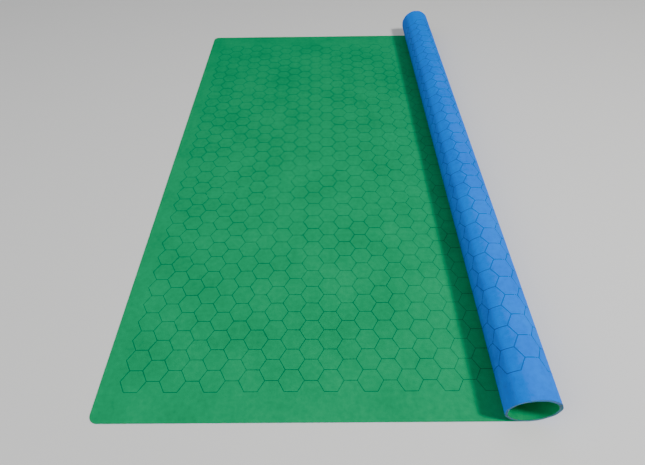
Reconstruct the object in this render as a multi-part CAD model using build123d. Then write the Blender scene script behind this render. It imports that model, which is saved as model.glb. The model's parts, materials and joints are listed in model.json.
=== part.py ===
from build123d import *
import os
from math import sin, cos, pi

# Reversible roll-up game mat, flat at its left side and rolled up at its right.
# Lengths in mm. +X runs from the flat free edge to the roll, +Y along the roll, +Z up.
# The origin is at the middle of the mat's outline on the table top.

# Driving dimensions
MAT_WIDTH = 876.3          # along the roll (34.5 in)
MAT_LENGTH = 1219.2        # laid flat, from edge to edge (48 in)
FACE_FILM = 0.18           # each vinyl face
CORE_FILM = 0.14           # pale backing between the two faces
THICKNESS = 2 * FACE_FILM + CORE_FILM
CORNER_RADIUS = 10.0       # the four rounded corners of the sheet
ROLL_RADIUS = 28.36        # outside of the roll
PITCH = 0.80               # from one turn to the next
STRIPS_PER_TURN = 11       # stiff strips that one turn is made of
STRIP_COUNT = 51           # strips in the whole roll
STRIP_GAP = 0.30           # slot between two strips, at the hinge line
LEAD_LENGTH = 40.0         # flat strip that leads in under the roll

# Derived dimensions
TURN = 2 * pi / STRIPS_PER_TURN                      # angle that one strip bends through
radii = [ROLL_RADIUS - (k + 0.5) * PITCH / STRIPS_PER_TURN for k in range(STRIP_COUNT)]
chords = [2 * r * sin(TURN / 2) for r in radii]
TANGENT = MAT_LENGTH - sum(chords)                   # flat length up to the line where the roll lifts off
FIELD_LENGTH = TANGENT - LEAD_LENGTH                 # the flat playing field


def bulge():
    """How far the outer turn reaches in +X past the tangent line."""
    x, heading = 0.0, 0.0
    for r in radii:
        if heading <= pi / 2 <= heading + TURN:
            return x + r - r * sin(heading)
        x, heading = x + r * (sin(heading + TURN) - sin(heading)), heading + TURN


HALF_OUTLINE = (TANGENT + bulge()) / 2               # half of the footprint along X


def block(x0, x1, z0, z1):
    """A flat ply that spans the mat's width, with x measured from the flat free edge."""
    return Pos((x0 + x1) / 2 - HALF_OUTLINE, 0, (z0 + z1) / 2) * Box(x1 - x0, MAT_WIDTH, z1 - z0)


def field_ply(z0, z1):
    """One ply of the flat field, rounded at its two free corners."""
    ply = block(0, FIELD_LENGTH - STRIP_GAP / 2, z0, z1)
    corners = ply.edges().filter_by(Axis.Z).group_by(Axis.X)[0]
    return fillet(corners, CORNER_RADIUS)


def strip(start, heading, radius, extra=0.0, side=0.0):
    """One curved strip of the roll: start is its hinge line on the outer face, heading its direction there.
    extra lengthens it past its end by that angle, and side widens it, for a strip that is trimmed afterwards."""
    centre = (start[0] - radius * sin(heading), start[1] + radius * cos(heading))
    trim = (STRIP_GAP / 2) / radius
    a0, a1 = heading + trim, heading + TURN - trim + extra
    width = MAT_WIDTH + 2 * side

    def at(r, a):
        return (centre[0] + r * sin(a) - HALF_OUTLINE, -width / 2, centre[1] - r * cos(a))

    inner = radius - THICKNESS
    middle = (a0 + a1) / 2
    edges = [
        ThreePointArc(at(radius, a0), at(radius, middle), at(radius, a1)),
        Line(at(radius, a1), at(inner, a1)),
        ThreePointArc(at(inner, a1), at(inner, middle), at(inner, a0)),
        Line(at(inner, a0), at(radius, a0)),
    ]
    section = Face(Wire(edges))
    return Solid.extrude(section, Vector(0, width, 0))


nodes = {}

# Flat field: two vinyl faces and the pale backing between them
nodes["blue_face"] = field_ply(0, FACE_FILM)
nodes["core"] = field_ply(FACE_FILM, FACE_FILM + CORE_FILM)
nodes["green_face"] = field_ply(FACE_FILM + CORE_FILM, THICKNESS)

# Lead-in strip under the roll
nodes["lead_strip"] = block(FIELD_LENGTH + STRIP_GAP / 2, TANGENT - STRIP_GAP / 2, 0, THICKNESS)

# The roll, strip by strip from the tangent line to the free end inside
point, heading = (TANGENT, 0.0), 0.0
for k, radius in enumerate(radii):
    piece = strip(point, heading, radius)
    after = heading + TURN
    end = (
        point[0] + radius * (sin(after) - sin(heading)),
        point[1] + radius * (cos(heading) - cos(after)),
    )
    if k == STRIP_COUNT - 1:
        # the free end inside the roll has the sheet's other two rounded corners
        planform = fillet(
            (Pos(-15 - STRIP_GAP / 2, 0) * Rectangle(30, MAT_WIDTH)).vertices().group_by(Axis.X)[-1], CORNER_RADIUS
        )
        seat = Plane(
            origin=(end[0] - HALF_OUTLINE, 0, end[1]),
            x_dir=(cos(after), 0, sin(after)),
            z_dir=(-sin(after), 0, cos(after)),
        )
        piece = strip(point, heading, radius, extra=0.2, side=5) & (seat * extrude(planform, amount=8, both=True))
    nodes[f"curl_{k + 1:02d}"] = piece
    point, heading = end, after

os.makedirs("parts", exist_ok=True)
for name, shape in nodes.items():
    export_step(shape, f"parts/{name}.step")
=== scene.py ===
import bpy, json, math
import numpy as np
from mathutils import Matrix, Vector


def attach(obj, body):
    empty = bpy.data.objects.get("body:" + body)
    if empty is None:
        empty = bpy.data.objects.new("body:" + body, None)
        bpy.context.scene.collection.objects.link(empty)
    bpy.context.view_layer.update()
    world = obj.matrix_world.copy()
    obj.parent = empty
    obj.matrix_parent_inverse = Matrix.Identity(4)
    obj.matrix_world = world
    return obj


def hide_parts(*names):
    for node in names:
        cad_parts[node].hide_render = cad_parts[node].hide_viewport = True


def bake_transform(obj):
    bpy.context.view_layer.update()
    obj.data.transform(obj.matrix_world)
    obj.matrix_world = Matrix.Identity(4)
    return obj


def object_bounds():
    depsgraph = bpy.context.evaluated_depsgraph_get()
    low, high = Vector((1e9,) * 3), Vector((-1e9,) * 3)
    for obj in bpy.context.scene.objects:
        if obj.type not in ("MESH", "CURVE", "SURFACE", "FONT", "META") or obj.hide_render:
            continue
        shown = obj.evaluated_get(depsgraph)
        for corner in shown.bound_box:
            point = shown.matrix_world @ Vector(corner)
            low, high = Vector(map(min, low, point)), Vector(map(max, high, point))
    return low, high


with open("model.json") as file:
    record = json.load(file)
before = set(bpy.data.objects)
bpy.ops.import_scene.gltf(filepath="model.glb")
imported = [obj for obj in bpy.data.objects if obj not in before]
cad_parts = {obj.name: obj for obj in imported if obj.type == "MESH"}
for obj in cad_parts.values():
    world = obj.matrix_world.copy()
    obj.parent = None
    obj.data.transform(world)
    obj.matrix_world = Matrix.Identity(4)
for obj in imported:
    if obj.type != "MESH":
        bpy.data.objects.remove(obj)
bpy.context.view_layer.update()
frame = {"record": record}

# ---------------------------------------------------------------- sizes (mm, then metres at the very end)
W, L, T = 876.3, 1219.2, 0.50
R, P, N = 28.36, 0.80, 11
TURN = 2 * math.pi / N
JOINTS = frame["record"]["behaviour"]["joints"]
M = sum(1 for j in JOINTS if j["child"].startswith("curl_"))
radii = [R - (k + 0.5) * P / N for k in range(M)]
TAN = L - sum(2 * r * math.sin(TURN / 2) for r in radii)
LEAD = 40.0
FIELD = TAN - LEAD
lo_b, hi_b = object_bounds()
HALF = -lo_b[0] * 1000.0
CORNER = 10.0
HEX = 25.4
INK_W, INK_H, INK_SUNK = 0.62, 0.03, 0.03
SOFTEN = 0.30          # share of each strip's bow that is taken out of the rolled shape

starts, heads, centres, s_at = [], [], [], []
px, pz, a, s = TAN, 0.0, 0.0, TAN
for r in radii:
    starts.append((px, pz)); heads.append(a); s_at.append(s)
    cx, cz = px - r * math.sin(a), pz + r * math.cos(a)
    centres.append((cx, cz))
    b = a + TURN
    px, pz, a = px + r * (math.sin(b) - math.sin(a)), pz + r * (math.cos(a) - math.cos(b)), b
    s += 2 * r * math.sin(TURN / 2)
s_at.append(s)
s_at = np.array(s_at); heads_a = np.array(heads + [a]); radii_a = np.array(radii)
centres_a = np.array(centres)
SAG = radii_a * (1 - math.cos(TURN / 2))


def smooth(e0, e1, v):
    t = np.clip((v - e0) / (e1 - e0), 0, 1)
    return t * t * (3 - 2 * t)


def lift(s, y):
    """Height of the underside above the table over the flat part, in mm."""
    s, y = np.asarray(s, float), np.asarray(y, float)
    h = np.zeros(np.broadcast(s, y).shape)
    # long soft waves left by rolling
    h = h + 0.22 * (1 + np.sin(s / 61.0 + 0.6 * np.sin(y / 190.0)))
    h = h + 0.14 * (1 + np.sin(s / 27.0 + y / 340.0 + 1.7))
    # faint diagonal creases
    for (s0, y0, dx, dy, width, height, reach) in CREASES:
        n = math.hypot(dx, dy)
        ux, uy = dx / n, dy / n
        along = (s - s0) * ux + (y - y0) * uy
        across = -(s - s0) * uy + (y - y0) * ux
        h = h + height * np.exp(-(across / width) ** 2) * np.exp(-(along / reach) ** 2)
    fade = 1 - smooth(FIELD - 55, FIELD + 8, s)
    edge = smooth(-2, 26, s) * smooth(-2, 30, W / 2 - np.abs(y))
    return h * fade * (0.35 + 0.65 * edge)


CREASES = [
    (115.0, -73.0, 1.0, 0.42, 5.5, 1.15, 75.0),
    (190.0, -54.0, 1.0, 0.30, 5.5, 0.95, 45.0),
    (140.0, -98.0, 1.0, 0.28, 5.5, 0.80, 60.0),
    (384.0, -90.0, 1.0, 0.50, 5.5, 0.90, 26.0),
    (300.0, -170.0, 1.0, 0.25, 6.5, 0.60, 60.0),
    (70.0, -30.0, 0.5, -1.0, 6.5, 0.60, 60.0),
    (235.0, 190.0, 1.0, -0.45, 7.5, 0.65, 80.0),
    (140.0, 120.0, 1.0, 0.6, 7.5, 0.60, 70.0),
]


def place(s, y, h):
    """Rest position, in mm, of the point at developed length s, width y and height h above the blue face."""
    s, y, h = np.broadcast_arrays(np.asarray(s, float), np.asarray(y, float), np.asarray(h, float))
    out = np.zeros(s.shape + (3,))
    flat = s <= TAN
    out[..., 1] = y
    out[..., 0] = np.where(flat, s - HALF, 0)
    out[..., 2] = np.where(flat, h + lift(np.where(flat, s, 0), y), 0)
    if (~flat).any():
        sr = s[~flat]
        k = np.clip(np.searchsorted(s_at, sr, side="right") - 1, 0, M - 1)
        u = (sr - s_at[k]) / (s_at[k + 1] - s_at[k])
        ang = heads_a[k] + u * TURN
        rad = radii_a[k] - SOFTEN * SAG[k] * np.sin(np.pi * u) ** 2 - h[~flat]
        c = centres_a[k]
        out[~flat, 0] = c[:, 0] + rad * np.sin(ang) - HALF
        out[~flat, 2] = c[:, 1] - rad * np.cos(ang)
    return out


def half_width(s):
    """Half of the sheet's width at developed length s, less the rounded corners."""
    s = np.asarray(s, float)
    d = np.minimum(s, L - s)
    cut = CORNER - np.sqrt(np.clip(CORNER ** 2 - np.clip(CORNER - d, 0, CORNER) ** 2, 0, None))
    return W / 2 - np.where(d < CORNER, cut, 0)


# ---------------------------------------------------------------- hex lines, as segments in (s, y)
ROW = HEX
COL = HEX * math.sqrt(3) / 2
SIDE = HEX / math.sqrt(3)


def hex_edges(s_first, y_first, columns, rows, odd_shift):
    """Edges of a flat-topped hex grid. s_first, y_first is the centre of the first hex."""
    seen, edges = set(), []
    for i in range(columns):
        cx = s_first + i * COL
        shift = odd_shift * ROW / 2 if i % 2 else 0.0
        for j in range(rows):
            cy = y_first + j * ROW + shift
            pts = [(cx + SIDE * math.cos(math.radians(q)), cy + SIDE * math.sin(math.radians(q))) for q in (0, 60, 120, 180, 240, 300)]
            for q in range(6):
                p0, p1 = pts[q], pts[(q + 1) % 6]
                key = (round(p0[0] + p1[0]), round(p0[1] + p1[1]))
                if key not in seen:
                    seen.add(key)
                    edges.append((p0, p1))
    return edges


GREEN_S0 = 21.8 + SIDE
GREEN_Y0 = -W / 2 + 33.1 + HEX / 2
green_edges = hex_edges(GREEN_S0, GREEN_Y0, 53, 31, +1)
BLUE_S0 = 21.2 + SIDE
BLUE_Y0 = -W / 2 + 31.6 + HEX / 2
blue_edges = hex_edges(BLUE_S0, BLUE_Y0, 53, 31, +1)


class Builder:
    def __init__(self):
        self.v, self.f, self.m, self.uv = [], [], [], []
        self.n = 0

    def add(self, pts, uv, faces, mats):
        self.v.append(pts.reshape(-1, 3)); self.uv.append(uv.reshape(-1, 2))
        self.f += [tuple(i + self.n for i in q) for q in faces]
        self.m += mats
        self.n += pts.reshape(-1, 3).shape[0]


GREEN, BLUE, EDGE, GLINE, BLINE = range(5)


def sheet_block(b, s0, s1, ns, ny, close0=True, close1=True):
    """The closed laminate from s0 to s1: blue film, pale backing and green film at the cut edges."""
    st = np.linspace(s0, s1, ns + 1)
    if s0 <= 0:
        st = np.unique(np.round(np.concatenate([CORNER * (1 - np.cos(np.linspace(0, math.pi / 2, 10))), np.linspace(CORNER, s1, ns)]), 6))
    if s1 >= L - 1e-6:
        st = np.unique(np.round(np.concatenate([np.linspace(s0, L - CORNER, 4), L - CORNER * (1 - np.cos(np.linspace(0, math.pi / 2, 10)))]), 6))
    hw = half_width(st)
    eta = np.linspace(-1, 1, ny + 1)
    S = np.repeat(st[:, None], ny + 1, 1)
    Y = hw[:, None] * eta[None, :]
    levels = [0.0, 0.15, 0.31, T]
    a_, c_ = len(st), ny + 1
    grids = []
    for h in levels:
        grids.append(place(S, Y, h))
    # all four levels share one vertex block: level, station, column
    pts = np.stack(grids)                                    # 4, a, c, 3
    uv = np.stack([np.stack([S, Y], -1)] * 4)
    idx = np.arange(4 * a_ * c_).reshape(4, a_, c_)
    faces, mats = [], []
    for i in range(a_ - 1):
        for j in range(c_ - 1):
            faces.append((idx[3, i, j], idx[3, i + 1, j], idx[3, i + 1, j + 1], idx[3, i, j + 1])); mats.append(GREEN)
            faces.append((idx[0, i, j], idx[0, i, j + 1], idx[0, i + 1, j + 1], idx[0, i + 1, j])); mats.append(BLUE)
    for lv, mat in ((0, BLUE), (1, EDGE), (2, GREEN)):
        for i in range(a_ - 1):
            faces.append((idx[lv, i, 0], idx[lv, i + 1, 0], idx[lv + 1, i + 1, 0], idx[lv + 1, i, 0])); mats.append(mat)
            faces.append((idx[lv, i, -1], idx[lv + 1, i, -1], idx[lv + 1, i + 1, -1], idx[lv, i + 1, -1])); mats.append(mat)
        for j in range(c_ - 1):
            faces.append((idx[lv, 0, j], idx[lv + 1, 0, j], idx[lv + 1, 0, j + 1], idx[lv, 0, j + 1])); mats.append(mat)
            faces.append((idx[lv, -1, j], idx[lv, -1, j + 1], idx[lv + 1, -1, j + 1], idx[lv + 1, -1, j])); mats.append(mat)
    used = sorted({q for f in faces for q in f})
    remap = {q: n for n, q in enumerate(used)}
    flatp, flatuv = pts.reshape(-1, 3), uv.reshape(-1, 2)
    b.add(flatp[used], flatuv[used], [tuple(remap[q] for q in f) for f in faces], mats)


def ink(b, edges, s0, s1, green, step):
    """Printed lines as thin closed bars, cut to s0..s1."""
    mat = GLINE if green else BLINE
    for (p0, p1) in edges:
        (x0, y0), (x1, y1) = p0, p1
        if max(x0, x1) <= s0 or min(x0, x1) >= s1:
            continue
        t0, t1 = 0.0, 1.0
        if abs(x1 - x0) > 1e-9:
            ta, tb = (s0 - x0) / (x1 - x0), (s1 - x0) / (x1 - x0)
            t0, t1 = max(t0, min(ta, tb)), min(t1, max(ta, tb))
        if t1 - t0 < 1e-4:
            continue
        ax, ay, bx, by = x0 + (x1 - x0) * t0, y0 + (y1 - y0) * t0, x0 + (x1 - x0) * t1, y0 + (y1 - y0) * t1
        length = math.hypot(bx - ax, by - ay)
        n = max(1, int(math.ceil(length / step)))
        dx, dy = (x1 - x0), (y1 - y0)
        q = math.hypot(dx, dy)
        nx, ny_ = -dy / q * INK_W / 2, dx / q * INK_W / 2
        t = np.linspace(0, 1, n + 1)
        cs, cy = ax + (bx - ax) * t, ay + (by - ay) * t
        ss = np.clip(np.stack([cs + nx, cs - nx, cs - nx, cs + nx], 1), s0, s1)
        yy = np.stack([cy + ny_, cy - ny_, cy - ny_, cy + ny_], 1)
        if green:
            hh = np.array([T - INK_SUNK, T - INK_SUNK, T + INK_H, T + INK_H])
        else:
            hh = np.array([-INK_H, -INK_H, INK_SUNK, INK_SUNK])
        pts = place(ss, yy, np.broadcast_to(hh, ss.shape))
        faces = [(3, 2, 1, 0), tuple(4 * n + z for z in (0, 1, 2, 3))]
        for i in range(n):
            o = 4 * i
            for e in range(4):
                f = (e + 1) % 4
                faces.append((o + e, o + f, o + 4 + f, o + 4 + e))
        b.add(pts, np.stack([ss, yy], -1), faces, [mat] * len(faces))


def make(name, b, mats):
    me = bpy.data.meshes.new(name)
    v = np.concatenate(b.v) / 1000.0
    me.from_pydata(v.tolist(), [], b.f)
    for m in mats:
        me.materials.append(m)
    me.polygons.foreach_set("material_index", np.array(b.m, np.int32))
    uv = np.concatenate(b.uv) / 1000.0
    layer = me.uv_layers.new(name="sheet")
    loops = np.zeros(len(me.loops), np.int32)
    me.loops.foreach_get("vertex_index", loops)
    layer.data.foreach_set("uv", uv[loops].astype(np.float32).ravel())
    me.validate(); me.update()
    o = bpy.data.objects.new(name, me)
    bpy.context.scene.collection.objects.link(o)
    bpy.context.view_layer.objects.active = o
    import bmesh
    bm = bmesh.new(); bm.from_mesh(me)
    bmesh.ops.recalc_face_normals(bm, faces=bm.faces)
    bm.to_mesh(me); bm.free()
    for p in me.polygons:
        p.use_smooth = True
    me.set_sharp_from_angle(angle=math.radians(38))
    return o


# ---------------------------------------------------------------- materials
def nodes_of(name):
    m = bpy.data.materials.new(name)
    m.use_nodes = True
    t = m.node_tree
    for n in list(t.nodes):
        t.nodes.remove(n)
    out = t.nodes.new("ShaderNodeOutputMaterial")
    bs = t.nodes.new("ShaderNodeBsdfPrincipled")
    t.links.new(bs.outputs[0], out.inputs[0])
    return m, t, bs


def noise(t, vec, scale, detail=4.0, rough=0.55):
    n = t.nodes.new("ShaderNodeTexNoise")
    n.inputs["Scale"].default_value = scale
    n.inputs["Detail"].default_value = detail
    n.inputs["Roughness"].default_value = rough
    t.links.new(vec, n.inputs["Vector"])
    return n.outputs["Fac"]


def ramp(t, fac, stops):
    r = t.nodes.new("ShaderNodeValToRGB")
    el = r.color_ramp.elements
    while len(el) < len(stops):
        el.new(0.5)
    for e, (pos, col) in zip(el, stops):
        e.position = pos
        e.color = (*col, 1.0) if len(col) == 3 else col
    t.links.new(fac, r.inputs["Fac"])
    return r.outputs["Color"]


def mix(t, fac, a, b, mode="MIX"):
    n = t.nodes.new("ShaderNodeMix")
    n.data_type = "RGBA"; n.blend_type = mode
    for sock, val in ((n.inputs[0], fac), (n.inputs[6], a), (n.inputs[7], b)):
        if hasattr(val, "is_linked") or hasattr(val, "links"):
            t.links.new(val, sock)
        elif isinstance(val, (int, float)):
            sock.default_value = val
        else:
            sock.default_value = (*val, 1.0)
    return n.outputs[2]


def vinyl(name, base, dark, light, rough=0.5, spec=0.4, grain=0.30, mottle=0.5):
    m, t, bs = nodes_of(name)
    uvn = t.nodes.new("ShaderNodeUVMap"); uvn.uv_map = "sheet"
    vec = uvn.outputs[0]
    broad = noise(t, vec, 14.0, 5.0, 0.62)
    fine = noise(t, vec, 160.0, 5.0, 0.6)
    grainn = noise(t, vec, 900.0, 2.0, 0.5)
    c1 = ramp(t, broad, [(0.36, dark), (0.5, base), (0.66, light)])
    c2 = ramp(t, fine, [(0.30, tuple(x * 0.80 for x in base)), (0.52, base), (0.74, tuple(min(1, x * 1.16 + 0.004) for x in base))])
    col = mix(t, mottle, c1, c2)
    t.links.new(col, bs.inputs["Base Color"])
    rr = ramp(t, fine, [(0.3, (rough - 0.07,) * 3), (0.7, (rough + 0.08,) * 3)])
    t.links.new(rr, bs.inputs["Roughness"])
    bs.inputs["Specular IOR Level"].default_value = spec
    bump = t.nodes.new("ShaderNodeBump")
    bump.inputs["Strength"].default_value = grain
    bump.inputs["Distance"].default_value = 0.0004
    t.links.new(grainn, bump.inputs["Height"])
    t.links.new(bump.outputs[0], bs.inputs["Normal"])
    return m


def cut_edge(name):
    m, t, bs = nodes_of(name)
    uvn = t.nodes.new("ShaderNodeUVMap"); uvn.uv_map = "sheet"
    f = noise(t, uvn.outputs[0], 420.0, 4.0, 0.6)
    col = ramp(t, f, [(0.3, (0.20, 0.15, 0.10)), (0.55, (0.32, 0.25, 0.18)), (0.75, (0.42, 0.35, 0.27))])
    t.links.new(col, bs.inputs["Base Color"])
    rr = ramp(t, f, [(0.3, (0.72,) * 3), (0.7, (0.86,) * 3)])
    t.links.new(rr, bs.inputs["Roughness"])
    bump = t.nodes.new("ShaderNodeBump")
    bump.inputs["Strength"].default_value = 0.5
    bump.inputs["Distance"].default_value = 0.0002
    t.links.new(f, bump.inputs["Height"])
    t.links.new(bump.outputs[0], bs.inputs["Normal"])
    return m


def srgb(r, g, b):
    return tuple((c / 255 / 12.92) if c / 255 <= 0.04045 else ((c / 255 + 0.055) / 1.055) ** 2.4 for c in (r, g, b))


green = vinyl("green_vinyl", (0.0, 0.310, 0.112), (0.0, 0.265, 0.094), (0.003, 0.350, 0.130), rough=0.68, spec=0.07, grain=0.5)
blue = vinyl("blue_vinyl", (0.0, 0.205, 0.96), (0.0, 0.165, 0.84), (0.0, 0.235, 1.0), rough=0.68, spec=0.04, grain=0.5)
edge = cut_edge("cut_edge")
gline = vinyl("green_line", (0.0, 0.105, 0.048), (0.0, 0.060, 0.030), (0.0, 0.190, 0.075), mottle=0.30, spec=0.06)
bline = vinyl("blue_line", (0.0, 0.060, 0.30), (0.0, 0.040, 0.22), (0.0, 0.095, 0.45), mottle=0.35, spec=0.04)
MATS = [green, blue, edge, gline, bline]

# ---------------------------------------------------------------- pieces
mids = [0.5 * (s_at[k] + s_at[k + 1]) for k in range(M)]
cuts = [0.0, FIELD - 14.0, FIELD + 20.0] + mids[:-1] + [L]


def point(s):
    return tuple(place(s, 0.0, T / 2) / 1000.0)


b = Builder()
sheet_block(b, 0.0, cuts[1], 120, 160)
ink(b, green_edges, 0.0, cuts[1], True, 5.0)
ink(b, blue_edges, 0.0, cuts[1], False, 5.0)
field = make("mat_field", b, MATS)
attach(field, "flat_field")
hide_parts("blue_face", "core", "green_face")

bodies = ["flat_field", "lead_strip"] + [f"curl_{k + 1:02d}" for k in range(M)]
for i in range(1, len(cuts) - 1):
    s0, s1 = cuts[i], cuts[i + 1]
    b = Builder()
    sheet_block(b, s0, s1, 12 if i > 1 else 14, 60 if i > 3 else 100)
    step = 2.6 if i > 1 else 5.0
    ink(b, green_edges, s0, s1, True, step)
    ink(b, blue_edges, s0, s1, False, step)
    name = "mat_lead" if i == 1 else f"mat_curl_{i - 1:02d}"
    o = make(name, b, MATS)
    before, after = bodies[i - 1], bodies[i]
    end_s = s1 if i < len(cuts) - 2 else mids[-1]
    point(s0)
    point(end_s)
    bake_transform(o)
    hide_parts(after)

# ---------------------------------------------------------------- floor, light, camera
bpy.ops.mesh.primitive_plane_add(size=12, location=(0, 0, -0.0003))
floor = bpy.context.object
floor.name = "floor"
fm, ft, fb = nodes_of("floor_paint")
fb.inputs["Base Color"].default_value = (0.78, 0.78, 0.77, 1)
fb.inputs["Roughness"].default_value = 0.8
floor.data.materials.append(fm)


def area(name, loc, target, size, energy, colour=(1, 1, 1), size_y=None):
    d = bpy.data.lights.new(name, "AREA")
    d.energy = energy; d.size = size; d.color = colour
    if size_y:
        d.shape = "RECTANGLE"; d.size_y = size_y
    o = bpy.data.objects.new(name, d)
    o.location = loc
    o.rotation_euler = (Vector(target) - Vector(loc)).to_track_quat("-Z", "Y").to_euler()
    bpy.context.scene.collection.objects.link(o)
    return o


area("key", (1.15, -0.80, 1.80), (0.12, -0.05, 0), 0.30, 40, (1.0, 0.985, 0.96))
area("fill", (-1.6, -0.9, 1.9), (0, 0, 0), 2.2, 26, (0.95, 0.97, 1.0))
area("top", (0.1, 0.4, 2.4), (0, 0, 0), 2.0, 8)
w = bpy.data.worlds.new("studio")
w.use_nodes = True
w.node_tree.nodes["Background"].inputs[0].default_value = (0.90, 0.92, 0.95, 1)
w.node_tree.nodes["Background"].inputs[1].default_value = 0.20
bpy.context.scene.world = w

cam_d = bpy.data.cameras.new("camera")
cam_d.sensor_width = 36.0
cam_d.lens = 25.698
cam = bpy.data.objects.new("camera", cam_d)
cam.location = (0.0096, -0.6116, 0.4905)
cam.rotation_euler = (math.radians(41.919), math.radians(0.673), math.radians(-0.111))
bpy.context.scene.collection.objects.link(cam)
bpy.context.scene.camera = cam
